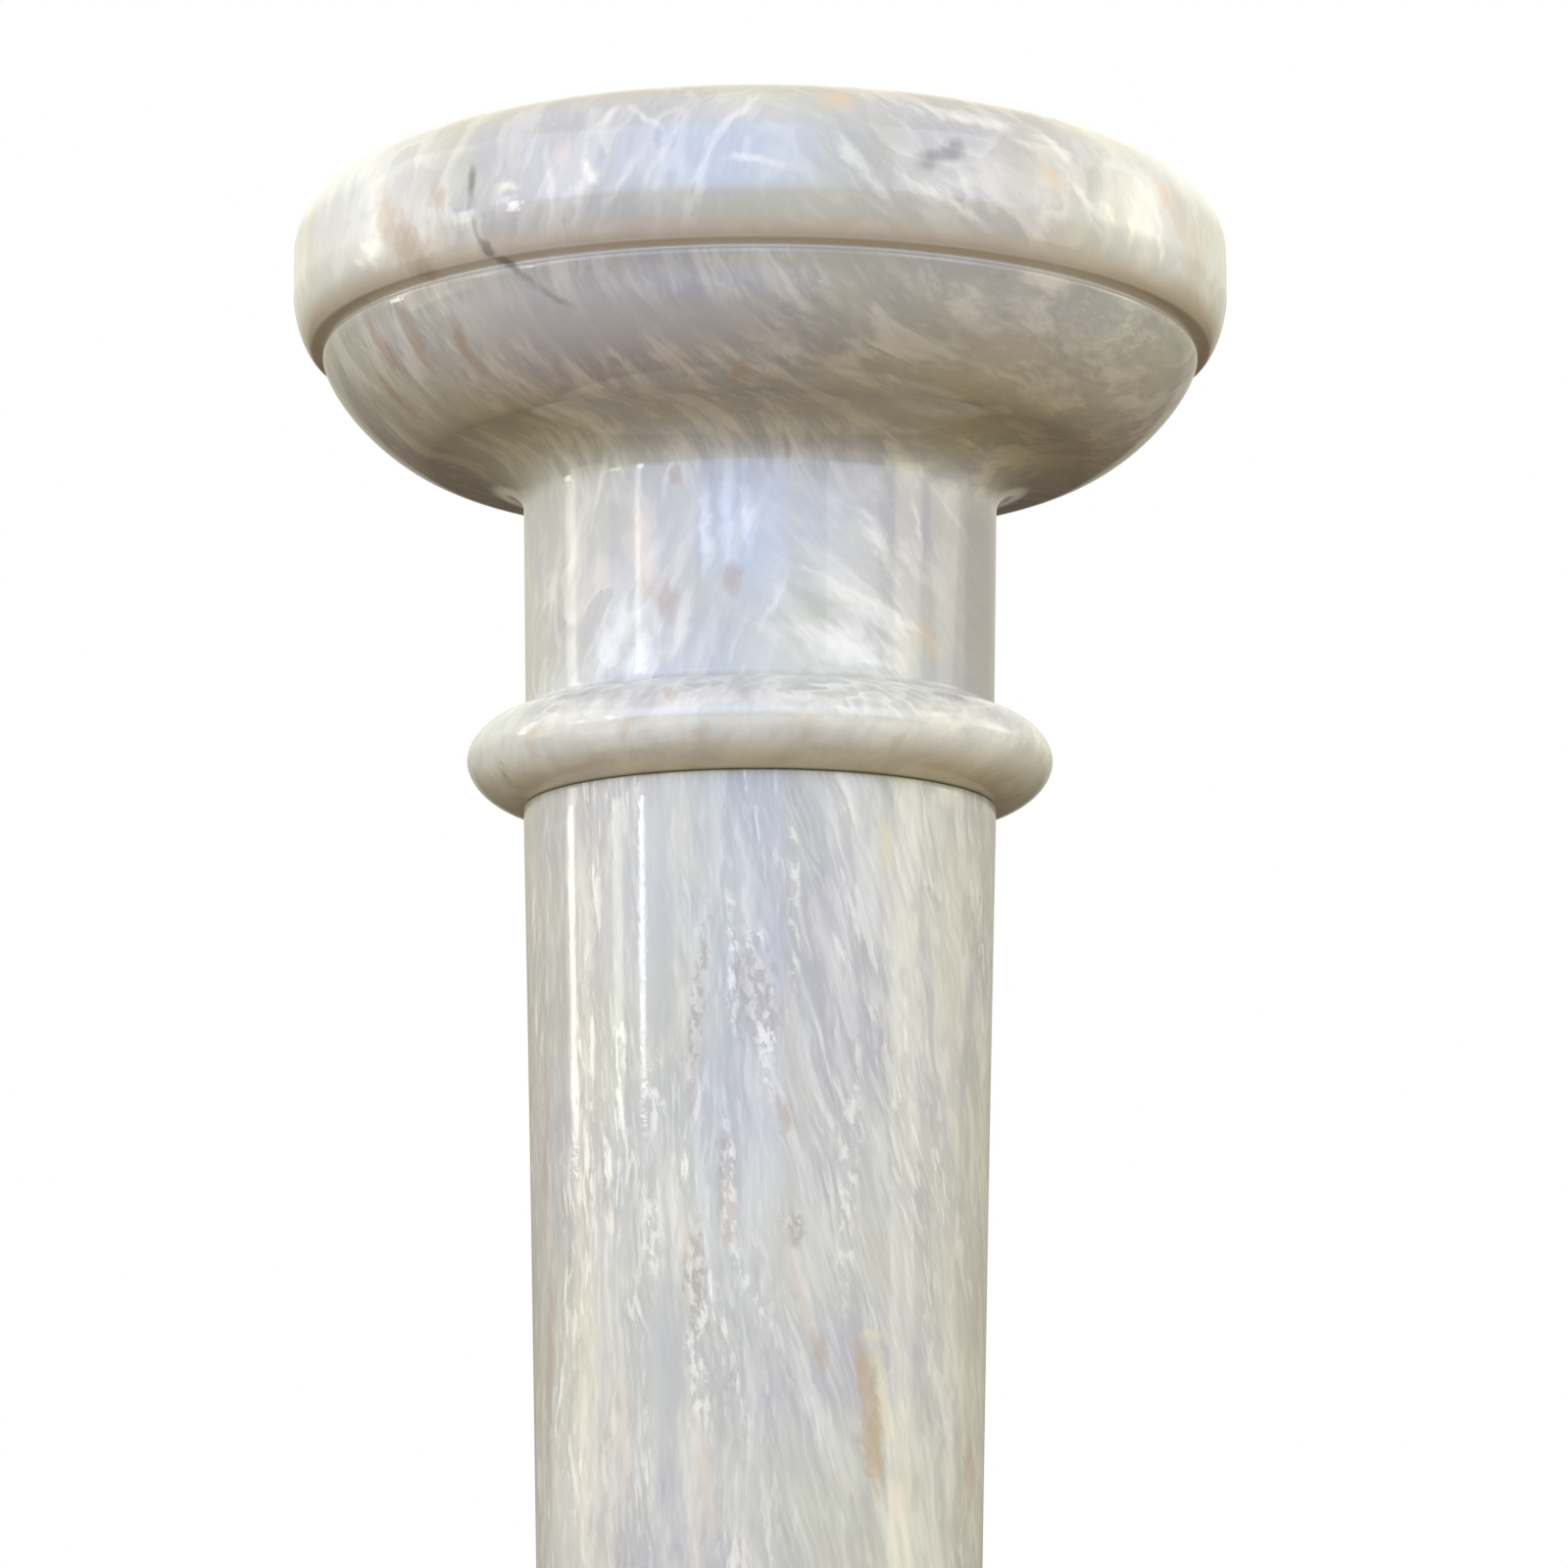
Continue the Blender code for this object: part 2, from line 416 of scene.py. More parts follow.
class StonePainter:
    """Builds the colour, gloss and fine relief of one polished stone, layer by layer."""

    def __init__(self, name, cut):
        self.material = bpy.data.materials.new(name)
        self.material.use_nodes = True
        self.tree = self.material.node_tree
        self.shader = self.tree.nodes["Principled BSDF"]
        self.place = add_node(self.tree, "ShaderNodeTexCoord").outputs["Object"]
        self.block = self.vector("ADD", self.place, cut)
        self.ragged_place = self.warp(self.place, EDGE_WAVE, EDGE_SHIFT)
        self.colour = None

    def sum(self, operation, *values):
        return math_node(self.tree, "ShaderNodeMath", operation, *values)

    def vector(self, operation, *values):
        return math_node(self.tree, "ShaderNodeVectorMath", operation, *values)

    def parts(self):
        """Distance to the right of the axis, distance to either side of it, and height."""
        part = add_node(self.tree, "ShaderNodeSeparateXYZ", {"Vector": self.place}).outputs
        return part["X"], self.sum("ABSOLUTE", part["X"]), part["Z"]

    def between(self, value, foot, head):
        """1 between two soft edges, each given as where it starts to show and where it shows in full."""
        return self.both(self.fade(value, *foot), self.fade(value, *head))

    def grain(self, vector, tilt, stretch):
        """Frame of the bedding: tilt turns it, in degrees, and stretch draws the pattern out along it."""
        return add_node(
            self.tree,
            "ShaderNodeMapping",
            {"Vector": vector, "Rotation": tuple(math.radians(a) for a in tilt), "Scale": stretch},
            vector_type="TEXTURE",
        ).outputs[0]

    def noise(self, vector, size, detail=3.0, roughness=0.6, distortion=0.0, output="Fac"):
        """Cloud noise whose largest features are size metres across."""
        return add_node(
            self.tree,
            "ShaderNodeTexNoise",
            {
                "Vector": vector,
                "Scale": 1 / size,
                "Detail": detail,
                "Roughness": roughness,
                "Distortion": distortion,
            },
        ).outputs[output]

    def warp(self, vector, size, amount):
        """Push the pattern about by up to amount metres, in waves of the given size."""
        push = self.noise(vector, size, detail=2.0, roughness=0.5, output="Color")
        centred = self.vector("SUBTRACT", push, (0.5, 0.5, 0.5))
        return self.vector("ADD", vector, self.vector("MULTIPLY", centred, (2 * amount,) * 3))

    def fade(self, value, low, high):
        """0 below low, 1 above high, with a soft rise between them."""
        return rise(self.tree, value, low, high)

    def level(self, value, low, high):
        """Take a value from 0..1 to low..high."""
        return self.sum("MULTIPLY_ADD", value, high - low, low)

    def both(self, *masks):
        """Where all the masks hold."""
        product = masks[0]
        for mask in masks[1:]:
            product = self.sum("MULTIPLY", product, mask)
        return product

    def start(self, amount, low_colour, high_colour):
        """First coat: from one colour to another."""
        self.colour = mix_colours(self.tree, amount, low_colour, high_colour)

    def lay(self, amount, colour, strength):
        """Lay a colour over what is painted so far, by amount times strength."""
        self.colour = mix_colours(self.tree, self.sum("MULTIPLY", amount, strength), self.colour, colour)

    def lace(self, vector, width, low, high):
        """Ragged flecks of the given width, and the thin shade along one flank of each."""
        value = self.noise(vector, width)
        beside = self.noise(self.vector("ADD", vector, (FLANK_SHIFT * width, 0.0, 0.0)), width)
        flecks = self.fade(value, low, high)
        flank = self.both(self.fade(beside, low, high), self.sum("SUBTRACT", 1.0, flecks))
        return flecks, flank

    def feather(self, vector, size, fibre, low, high):
        """Soft patches of the given size, frayed into fibres along the grain."""
        patch = self.noise(vector, size, detail=2.0, roughness=0.5, distortion=0.6)
        frayed = self.sum("MULTIPLY_ADD", self.noise(vector, fibre), FEATHER_FRAY, patch)
        return self.fade(frayed, low + FEATHER_FRAY / 2, high + FEATHER_FRAY / 2)

    def fray(self, closeness, vector, size, amount, low, high):
        """Turn closeness to a mark into a mask whose edge is broken up along the grain."""
        fibres = self.sum("SUBTRACT", self.noise(vector, size), 0.5)
        return self.fade(self.sum("MULTIPLY_ADD", fibres, 2 * amount, closeness), low, high)

    def oval(self, centre, turn, size):
        """1 at a centre and 0 outside an oval that is turned, and size metres wide, deep and long."""
        near = add_node(
            self.tree,
            "ShaderNodeMapping",
            {
                "Vector": self.ragged_place,
                "Location": centre,
                "Rotation": turn,
                "Scale": tuple(s / 2 for s in size),
            },
            vector_type="TEXTURE",
        ).outputs[0]
        ball = add_node(self.tree, "ShaderNodeTexGradient", {"Vector": near}, gradient_type="SPHERICAL")
        return ball.outputs["Fac"]


# Colours of the stone, as its surface reflects them; some of them are also laid as painted light and
# painted shade
LAVENDER = (0.440, 0.455, 0.520)
GREEN_GREY = (0.490, 0.515, 0.500)
CREAM = (0.62, 0.62, 0.575)
MILK_AND_SHEEN = (0.80, 0.82, 0.83)
ASH_AND_SHADE = (0.34, 0.34, 0.36)
UMBER = (0.27, 0.225, 0.19)
BARK = (0.32, 0.28, 0.265)
OCHRE = (0.46, 0.37, 0.27)
TAN = (0.44, 0.365, 0.275)
RUST = (0.42, 0.34, 0.30)
PEACH = (0.62, 0.51, 0.39)
SOOT = (0.10, 0.10, 0.10)
PAINTED_BOUNCE_GREY = (0.75, 0.80, 0.82)
PALE_CREAM_AND_BOUNCE = (0.85, 0.91, 0.93)
ICE_AND_CREASE_LIGHT = (0.74, 0.80, 0.92)
PAINTED_SKY_BLUE = (0.49, 0.55, 0.69)
BEIGE_AND_SHADE = (0.56, 0.50, 0.42)
BLUSH = (0.68, 0.625, 0.57)
PAINTED_KHAKI_SHADE = (0.38, 0.34, 0.25)
MIST = (0.56, 0.57, 0.63)
PAINTED_FROST_LIGHT = (0.88, 0.95, 1.00)
PAINTED_GLINT = (0.94, 0.94, 0.86)
SHADE = (0.22, 0.20, 0.18)
STRAW = (0.66, 0.64, 0.50)


def surface_point(outline, angle, height):
    """Point of a turned block at an angle to the right of the front, in degrees, and at a height."""
    radius = 0.0
    for (r0, z0), (r1, z1) in zip(outline, outline[1:]):
        if z0 <= height <= z1 and z1 > z0:
            radius = max(radius, r0 + (r1 - r0) * (height - z0) / (z1 - z0))
    turn = math.radians(angle)
    return Vector((radius * math.sin(turn), -radius * math.cos(turn), height))


def marks(stone, outline, places):
    """Closeness to ovals on the surface, each (angle, height, width, length, lean): degrees and metres.

    It is 1 at their middles, 0 at their rims and -REACH well outside them.
    """
    nearest = None
    for angle, height, width, length, lean in places:
        turn = Euler((0.0, math.radians(lean), math.radians(angle)))
        size = tuple(s * (1 + REACH) for s in (width, MARK_DEPTH, length))
        near = stone.oval(surface_point(outline, angle, height), turn, size)
        nearest = near if nearest is None else stone.sum("MAXIMUM", nearest, near)
    return stone.level(nearest, -REACH, 1.0)


def lay_coats(stone, outline, grain, coats):
    """Lay groups of ovals, each with its colour, and with edges frayed into fibres along a grain."""
    for places, colour, strength, fibre, amount, rim, heart in coats:
        closeness = marks(stone, outline, places)
        stone.lay(stone.fray(closeness, grain, fibre, amount, rim, heart), colour, strength)


def veils(stone, tilt, along, size, turns, strength, zone):
    """Smoky veils along the grain, each with a ragged bright edge on one side."""
    grain = stone.grain(stone.warp(stone.block, VEIL_WAVE, VEIL_SHIFT), tilt, (1.0, *along))
    depth = stone.noise(grain, size, detail=2.0, roughness=0.5)
    depth = stone.sum("MULTIPLY_ADD", stone.noise(grain, VEIL_FIBRE), 0.05, depth)
    phase = stone.sum("FRACT", stone.sum("MULTIPLY", depth, turns))
    veil = stone.both(stone.fade(phase, 0.40, 0.93), stone.fade(phase, 1.0, 0.90))
    where = stone.fade(stone.noise(stone.block, VEIL_PATCH, detail=1.0, roughness=0.5), 0.42, 0.62)
    stone.lay(stone.both(veil, where, zone), MILK_AND_SHEEN, strength)


def bedding(stone, tilt, along, contrast, lace, feather_size, feathers, zone=None, bend=0.008):
    """Bands, feathers and, where lace isn't 0, lace along one direction of the grain, inside a zone."""
    bent = stone.warp(stone.block, BEND_WAVE, bend)
    grain = stone.grain(bent, tilt, (1.0, *along))
    ragged = stone.warp(grain, RAGGED_WAVE, RAGGED_SHIFT)
    hold = (zone,) if zone else ()

    bands = stone.noise(grain, BAND, roughness=0.55)
    stone.lay(stone.both(stone.fade(bands, 0.48, 0.70), *hold), CREAM, 0.50 * contrast)
    stone.lay(stone.both(stone.fade(bands, 0.50, 0.32), *hold), ASH_AND_SHADE, 0.30 * contrast)
    fibres = stone.noise(ragged, FIBRE)
    stone.lay(stone.both(stone.fade(fibres, 0.50, 0.70), *hold), MILK_AND_SHEEN, 0.30 * contrast)
    stone.lay(stone.both(stone.fade(fibres, 0.50, 0.30), *hold), ASH_AND_SHADE, 0.22 * contrast)
    wisps = stone.feather(ragged, feather_size, FEATHER_FIBRE, 0.46, 0.68)
    stone.lay(stone.both(wisps, *hold), MILK_AND_SHEEN, feathers)
    if not lace:
        return ragged

    trains = stone.fade(stone.noise(grain, TRAIN, detail=2.0, roughness=0.5), 0.42, 0.60)
    busy = stone.level(trains, 0.10, 1.0)
    flecks, flank = stone.lace(ragged, FLECK, 0.54, 0.64)
    stone.lay(stone.both(flank, busy, *hold), UMBER, 0.35 * lace)
    stone.lay(stone.both(flecks, busy, *hold), MILK_AND_SHEEN, lace)
    fine = stone.fade(stone.noise(ragged, FINE_FLECK), 0.55, 0.68)
    stone.lay(stone.both(fine, busy, *hold), MILK_AND_SHEEN, 0.6 * lace)
    return ragged


# Polish: its roughness, what hands have added to it, the pits left in it, and how far light sinks in
ROUGHNESS = (0.03, 0.11)
WORN_ROUGHNESS = 0.14
GLOSS_CLOUD = 0.008
PIT = 0.0016
PIT_STRENGTH = 0.03
PIT_DEPTH = 0.001
STONE_IOR = 1.5
SINKING_SHARE = 0.10
SINKING_COLOUR = (1.0, 0.85, 0.7)
SINKING_DEPTH = 0.003


def polish(stone, ragged, worn=None):
    """Gloss that varies a little with the grain, shallow pits, and light that sinks into the stone."""
    stone.tree.links.new(stone.colour, stone.shader.inputs["Base Color"])
    gloss = stone.level(stone.noise(ragged, GLOSS_CLOUD), *ROUGHNESS)
    if worn:
        gloss = stone.sum("MULTIPLY_ADD", worn, WORN_ROUGHNESS, gloss)
    stone.tree.links.new(gloss, stone.shader.inputs["Roughness"])
    pits = stone.noise(stone.block, PIT, detail=2.0)
    bump = add_node(
        stone.tree, "ShaderNodeBump", {"Height": pits, "Strength": PIT_STRENGTH, "Distance": PIT_DEPTH}
    )
    stone.tree.links.new(bump.outputs[0], stone.shader.inputs["Normal"])
    stone.shader.inputs["IOR"].default_value = STONE_IOR
    stone.shader.inputs["Subsurface Weight"].default_value = SINKING_SHARE
    stone.shader.inputs["Subsurface Radius"].default_value = SINKING_COLOUR
    stone.shader.inputs["Subsurface Scale"].default_value = SINKING_DEPTH
    return stone.material


def ground_coat(stone):
    """Cool lavender and greenish grey clouds."""
    clouds = stone.noise(stone.block, CLOUD, roughness=0.5)
    stone.start(stone.fade(clouds, 0.38, 0.62), LAVENDER, GREEN_GREY)


def stains(stone, ragged):
    """Tan grains, gathered in a few places of the block."""
    grains = stone.fade(stone.noise(ragged, STAIN), 0.60, 0.74)
    zone = stone.fade(stone.noise(stone.block, STAINED_PATCH, detail=1.0, roughness=0.5), 0.60, 0.70)
    stone.lay(stone.both(grains, zone), TAN, 0.6)


# Marks on the capital: angle from the front, height, width, length and lean, in degrees and metres
NECK_STROKES = (
    (26, 0.8690, 0.0070, 0.036, -64), (19, 0.8590, 0.0100, 0.048, -80),
    (28, 0.8705, 0.0030, 0.056, -68), (58, 0.8940, 0.0024, 0.046, -54),
    (29, 0.8866, 0.0060, 0.022, -33), (40, 0.8940, 0.0024, 0.014, -17),
)
NECK_PATCHES = (
    (-36, 0.8640, 0.0080, 0.026, 39), (-29, 0.8595, 0.0100, 0.021, 12), (-19, 0.8630, 0.0060, 0.025, 8),
    (4, 0.8710, 0.0028, 0.018, 23), (-41, 0.9040, 0.0026, 0.028, 22), (-22, 0.9060, 0.0028, 0.018, 13),
    (-12, 0.8850, 0.0034, 0.013, -8), (-2, 0.8915, 0.0060, 0.010, -3), (-59, 0.8800, 0.0040, 0.026, 16),
)
LIP_STROKES = (
    (25, 0.9870, 0.0046, 0.036, -84), (36, 0.9830, 0.0036, 0.016, -68),
    (11, 0.9720, 0.0046, 0.026, -39), (20, 0.9650, 0.0036, 0.022, -66),
    (24, 0.9620, 0.0030, 0.021, -58), (41, 0.9705, 0.0046, 0.022, -50),
    (54, 0.9740, 0.0024, 0.020, -30), (66, 0.9700, 0.0022, 0.026, -18),
    (-1, 0.9718, 0.0030, 0.016, -85),
)
LIP_PATCHES = (
    (-21, 0.9680, 0.0034, 0.028, 11), (-16, 0.9675, 0.0030, 0.023, 32), (-7, 0.9665, 0.0034, 0.034, 21),
    (-18, 0.9847, 0.0034, 0.015, 42), (-13, 0.9837, 0.0028, 0.021, -51),
    (-11, 0.9760, 0.0028, 0.026, 25), (-3, 0.9836, 0.0028, 0.023, 43), (-25, 0.9680, 0.0026, 0.024, -3),
    (-44, 0.9625, 0.0080, 0.016, 20), (-62, 0.9600, 0.0080, 0.020, 30),
    (-64, 0.9800, 0.0046, 0.013, 21), (-36, 0.9600, 0.0100, 0.012, 0),
)
CAPITAL_RUST = (
    (-49.5, 0.9690, 0.0100, 0.020, -14), (-46.5, 0.9610, 0.0120, 0.018, -18),
    (-44.8, 0.9550, 0.0130, 0.010, -50), (-40.7, 0.9705, 0.0060, 0.011, 3),
    (-3.2, 0.9241, 0.0080, 0.0060, 0), (-23.6, 0.8716, 0.0090, 0.014, -35),
    (-7.0, 0.8760, 0.0060, 0.010, 0), (-20.2, 0.9044, 0.0045, 0.005, 0),
    (-60.0, 0.9400, 0.0070, 0.030, 0), (-52.0, 0.9400, 0.0060, 0.030, 6),
    (-44.0, 0.9350, 0.0050, 0.026, 8), (-66.0, 0.9300, 0.0070, 0.030, 0),
)
CAPITAL_DUN = (
    (-11.0, 0.8310, 0.0060, 0.0090, 20), (-26.0, 0.8350, 0.0050, 0.0100, 30),
    (9.0, 0.8330, 0.0040, 0.0120, 35), (-50.0, 0.8340, 0.0060, 0.0120, 30),
    (28.0, 0.8300, 0.0050, 0.0080, 30), (-18.0, 0.8420, 0.0050, 0.0080, 50),
    (66.0, 0.9660, 0.0180, 0.0340, 4), (-70.0, 0.9720, 0.0140, 0.0300, 0),
    (60.0, 0.9760, 0.0100, 0.0240, -20),
)
CAPITAL_PEACH = (
    (44.0, 0.8636, 0.0090, 0.014, -60), (9.1, 0.9895, 0.0100, 0.012, -70),
    (36.0, 0.9735, 0.0060, 0.011, -36), (56.4, 0.9780, 0.0060, 0.016, -39),
)
CAPITAL_BLUSH = (
    (-29.0, 0.8900, 0.0110, 0.024, -4), (-27.5, 0.8785, 0.0090, 0.018, 8),
    (-23.0, 0.9760, 0.0070, 0.009, 30), (62.0, 0.9680, 0.0090, 0.020, -20),
)
CAPITAL_ICE = (
    (-8.0, 0.8935, 0.0050, 0.034, -3), (-13.0, 0.8900, 0.0030, 0.028, 0),
    (-3.0, 0.8920, 0.0030, 0.020, -3), (-38.0, 0.8620, 0.0120, 0.024, 20),
    (-31.0, 0.8560, 0.0110, 0.014, 40),
)
CAPITAL_CALM = (
    (-24, 0.9360, 0.050, 0.022, 0), (-36, 0.9400, 0.040, 0.022, 0), (-8, 0.9340, 0.040, 0.014, 0),
)
CAPITAL_WARM = (
    (32, 0.9740, 0.050, 0.030, -45), (48, 0.9700, 0.040, 0.040, 0), (36, 0.9330, 0.040, 0.024, 0),
)
# Painted reflection: bluish sky reflected in the front of the lip, neck and underside
CAPITAL_SKY_REFLECTION = (
    (-4, 0.9750, 0.110, 0.034, 0), (2, 0.8880, 0.070, 0.050, 0), (-6, 0.9430, 0.090, 0.014, 0),
)
CAPITAL_SMUDGE = (
    (20.3, 0.9745, 0.0180, 0.0070, -30), (22.2, 0.9765, 0.0100, 0.0070, -25),
)
CAPITAL_CRACK = (
    (-35.3, 0.9732, 0.0032, 0.0105, 3), (-34.2, 0.9550, 0.0030, 0.0080, -35),
    (-32.6, 0.9508, 0.0032, 0.0090, -50),
)
CAPITAL_HAIRLINE = (
    (-35.4, 0.9670, 0.0036, 0.0130, 0), (-35.2, 0.9600, 0.0032, 0.0120, -4),
    (-30.2, 0.9465, 0.0030, 0.0120, -52), (-26.8, 0.9415, 0.0030, 0.0140, -52),
)
# Painted glints: small bright specks on the lip where it catches the lamps
CAPITAL_PAINTED_GLINTS = (
    (-54.0, 0.9630, 0.0030, 0.0070, -55), (-56.0, 0.9595, 0.0030, 0.0070, -55),
    (-53.0, 0.9585, 0.0030, 0.0080, -60), (-30.3, 0.9695, 0.0070, 0.0034, 10),
    (45.0, 0.9690, 0.0050, 0.0080, -30), (49.5, 0.9660, 0.0080, 0.0060, -50),
    (55.5, 0.9640, 0.0040, 0.0100, -20), (-20.0, 0.9700, 0.0040, 0.0080, -40),
)
# Painted sheen: soft white highlights about the glints at the lip's sides
CAPITAL_PAINTED_SHEEN = (
    (45, 0.9720, 0.0120, 0.034, 10), (52, 0.9680, 0.0120, 0.030, 0), (-52, 0.9640, 0.0120, 0.024, 8),
)

# Coats of marks: places, colour, strength, width of the edge's fibres, fraying, and rim and heart
FALLING_COATS = ((NECK_STROKES + LIP_STROKES, MILK_AND_SHEEN, 0.65, 0.0025, 1.0, -0.3, 1.1),)
RISING_COATS = ((NECK_PATCHES + LIP_PATCHES, MILK_AND_SHEEN, 0.48, 0.0025, 1.0, -0.3, 1.1),)
CAPITAL_COATS = (
    (CAPITAL_BLUSH, BLUSH, 0.75, 0.0035, 0.9, -0.2, 0.9),
    (CAPITAL_PEACH, PEACH, 0.75, 0.0035, 0.9, -0.2, 0.9),
    (CAPITAL_ICE, ICE_AND_CREASE_LIGHT, 0.60, 0.0040, 0.9, -0.3, 1.0),
    (CAPITAL_PAINTED_SHEEN, MILK_AND_SHEEN, 0.45, 0.0060, 1.2, -0.3, 1.0),
    (CAPITAL_PAINTED_GLINTS, PAINTED_GLINT, 0.55, 0.0030, 0.9, -0.2, 0.9),
    (CAPITAL_DUN, BEIGE_AND_SHADE, 0.40, 0.0030, 0.9, -0.2, 0.9),
)
CAPITAL_LAST_COATS = (
    (CAPITAL_RUST, RUST, 0.66, 0.0035, 0.9, -0.3, 0.8),
    (CAPITAL_SMUDGE, SOOT, 0.55, 0.0050, 0.5, -0.1, 0.8),
)

# Soft edges of the capital's zones, as heights: where each starts to show and where it shows in full
# The ring's lower half, underside and belt carry painted light; the roll, crease and ridge under the lip
# carry painted shade, the crease painted light too
RING_LOWER_HALF = (0.8430, 0.8350)
RING_UNDERSIDE = (0.8372, 0.8310)
BELT_FOOT = (0.8285, 0.8305)
BELT_HEAD = (0.8365, 0.8340)
RING_HEAD = (0.8510, 0.8490)
NECK_FOOT = (0.8490, 0.8510)
NECK_HEAD = (0.9120, 0.8950)
UNDERSIDE_FOOT = (0.8940, 0.9120)
UNDERSIDE_HEAD = (0.9580, 0.9500)
RIDGE_FOOT = (0.9420, 0.9500)
RIDGE_HEAD = (0.9512, 0.9506)
CREASE_FOOT = (0.9506, 0.9516)
CREASE_HEAD = (0.9535, 0.9527)
ROLL_FOOT = (0.9490, 0.9515)
ROLL_HEAD = (0.9610, 0.9530)
LIP_FOOT = (0.9450, 0.9600)
WORN_FOOT = (0.9500, 0.9600)

# The same across the capital, as distances to the right of its axis or to either side of it
CAPITAL_LEFT = (0.016, -0.010)
CAPITAL_RIGHT = (-0.010, 0.016)
BELT_MIDDLE = (0.066, 0.036)
RING_SHADED_RIGHT = (0.050, 0.072)
NECK_SHADED_RIGHT = (0.036, 0.064)
LIP_SIDES = (0.078, 0.112)


def capital_onyx(outline):
    """Capital: fine streaks under it, smoky veils on its lip and neck, one dark crack across the lip, and
    painted light and shade on its ring, neck and lip.
    """
    stone = StonePainter("polished capital onyx", (0.31, 0.12, 0.0))
    ground_coat(stone)
    across, aside, height = stone.parts()
    # Painted reflection of the sky, bluish, on the front of the capital
    stone.lay(stone.fade(marks(stone, outline, CAPITAL_SKY_REFLECTION), 0.0, 0.8), PAINTED_SKY_BLUE, 0.70)
    stone.lay(stone.fade(marks(stone, outline, CAPITAL_WARM), 0.0, 0.8), CREAM, 0.50)

    # Painted bounce light: the ring's lower half and underside laid pale, as if lit from below by the
    # bright shaft
    stone.lay(stone.fade(height, *RING_LOWER_HALF), PAINTED_BOUNCE_GREY, 0.66)
    stone.lay(stone.fade(height, *RING_UNDERSIDE), PALE_CREAM_AND_BOUNCE, 0.60)
    # Painted light: a pale frosty band round the front of the ring at its widest
    lit_belt = stone.both(stone.between(height, BELT_FOOT, BELT_HEAD), stone.fade(aside, *BELT_MIDDLE))
    stone.lay(lit_belt, PAINTED_FROST_LIGHT, 0.55)
    ring = stone.fade(height, *RING_HEAD)
    # Painted shade: the right side of the ring laid a little darker
    stone.lay(stone.both(ring, stone.fade(across, *RING_SHADED_RIGHT)), ASH_AND_SHADE, 0.12)

    below = stone.between(height, UNDERSIDE_FOOT, UNDERSIDE_HEAD)
    calm = stone.fade(marks(stone, outline, CAPITAL_CALM), -0.3, 0.6)
    under = stone.both(below, stone.level(calm, 1.0, 0.45))
    above = stone.sum("SUBTRACT", 1.0, below)
    left = stone.both(stone.fade(across, *CAPITAL_LEFT), above)
    right = stone.both(stone.fade(across, *CAPITAL_RIGHT), above)
    ragged = bedding(
        stone, tilt=(0, -14.6, -38.7), along=(3.5, 5.0), contrast=0.6, lace=0.26,
        feather_size=0.0075, feathers=0.48, zone=under,
    )
    stone.lay(stone.both(calm, below), MIST, 0.40)
    rising = bedding(
        stone, tilt=(0, 20, 0), along=(1.6, 4.0), contrast=0.30, lace=0.0,
        feather_size=0.0090, feathers=0.27, zone=left,
    )
    falling = bedding(
        stone, tilt=(0, -50, 0), along=(1.6, 4.0), contrast=0.35, lace=0.0,
        feather_size=0.0090, feathers=0.32, zone=right,
    )
    veils(stone, tilt=(0, 20, 0), along=(1.4, 2.2), size=0.030, turns=9.0, strength=0.32, zone=left)
    veils(stone, tilt=(0, -50, 0), along=(1.4, 2.2), size=0.030, turns=9.0, strength=0.32, zone=right)
    bedding(
        stone, tilt=(0, 62, 0), along=(1.4, 3.0), contrast=0.45, lace=0.22,
        feather_size=0.0060, feathers=0.40, zone=ring,
    )
    veils(stone, tilt=(0, -75, 0), along=(1.4, 3.0), size=0.014, turns=7.0, strength=0.50, zone=ring)
    stone.lay(stone.both(stone.feather(rising, 0.0120, 0.0030, 0.44, 0.60), ring), ASH_AND_SHADE, 0.13)

    sides = stone.fade(aside, *LIP_SIDES)
    stone.lay(stone.both(sides, stone.fade(height, *LIP_FOOT)), PALE_CREAM_AND_BOUNCE, 0.38)
    lay_coats(stone, outline, falling, FALLING_COATS)
    lay_coats(stone, outline, rising, RISING_COATS)
    stains(stone, ragged)
    loose = stone.grain(stone.block, (0, 0, 0), (1.0, 1.0, 1.6))
    lay_coats(stone, outline, loose, CAPITAL_COATS)

    # Painted shade: the right side of the neck laid dark, where the lip's underside shades it
    neck = stone.between(height, NECK_HEAD, NECK_FOOT)
    stone.lay(stone.both(stone.fade(across, *NECK_SHADED_RIGHT), neck), ASH_AND_SHADE, 0.95)
    # Painted shade: the lip's lower roll laid beige, and khaki towards the sides
    shaded_roll = stone.between(height, ROLL_FOOT, ROLL_HEAD)
    stone.lay(shaded_roll, BEIGE_AND_SHADE, 0.65)
    stone.lay(stone.both(shaded_roll, sides), PAINTED_KHAKI_SHADE, 0.35)
    # Painted light in the crease under the lip, pale ice in front, with painted khaki shade at the sides
    crease_light_and_shade = stone.between(height, CREASE_FOOT, CREASE_HEAD)
    stone.lay(crease_light_and_shade, ICE_AND_CREASE_LIGHT, 0.65)
    stone.lay(stone.both(crease_light_and_shade, sides), PAINTED_KHAKI_SHADE, 0.32)
    stone.lay(stone.between(height, RIDGE_FOOT, RIDGE_HEAD), SHADE, 0.36)
    lay_coats(stone, outline, loose, CAPITAL_LAST_COATS)
    stone.lay(stone.fade(marks(stone, outline, CAPITAL_HAIRLINE), -0.15, 0.8), SOOT, 0.30)
    stone.lay(stone.fade(marks(stone, outline, CAPITAL_CRACK), -0.15, 0.7), SOOT, 0.60)
    return polish(stone, ragged, stone.both(sides, stone.fade(height, *WORN_FOOT)))


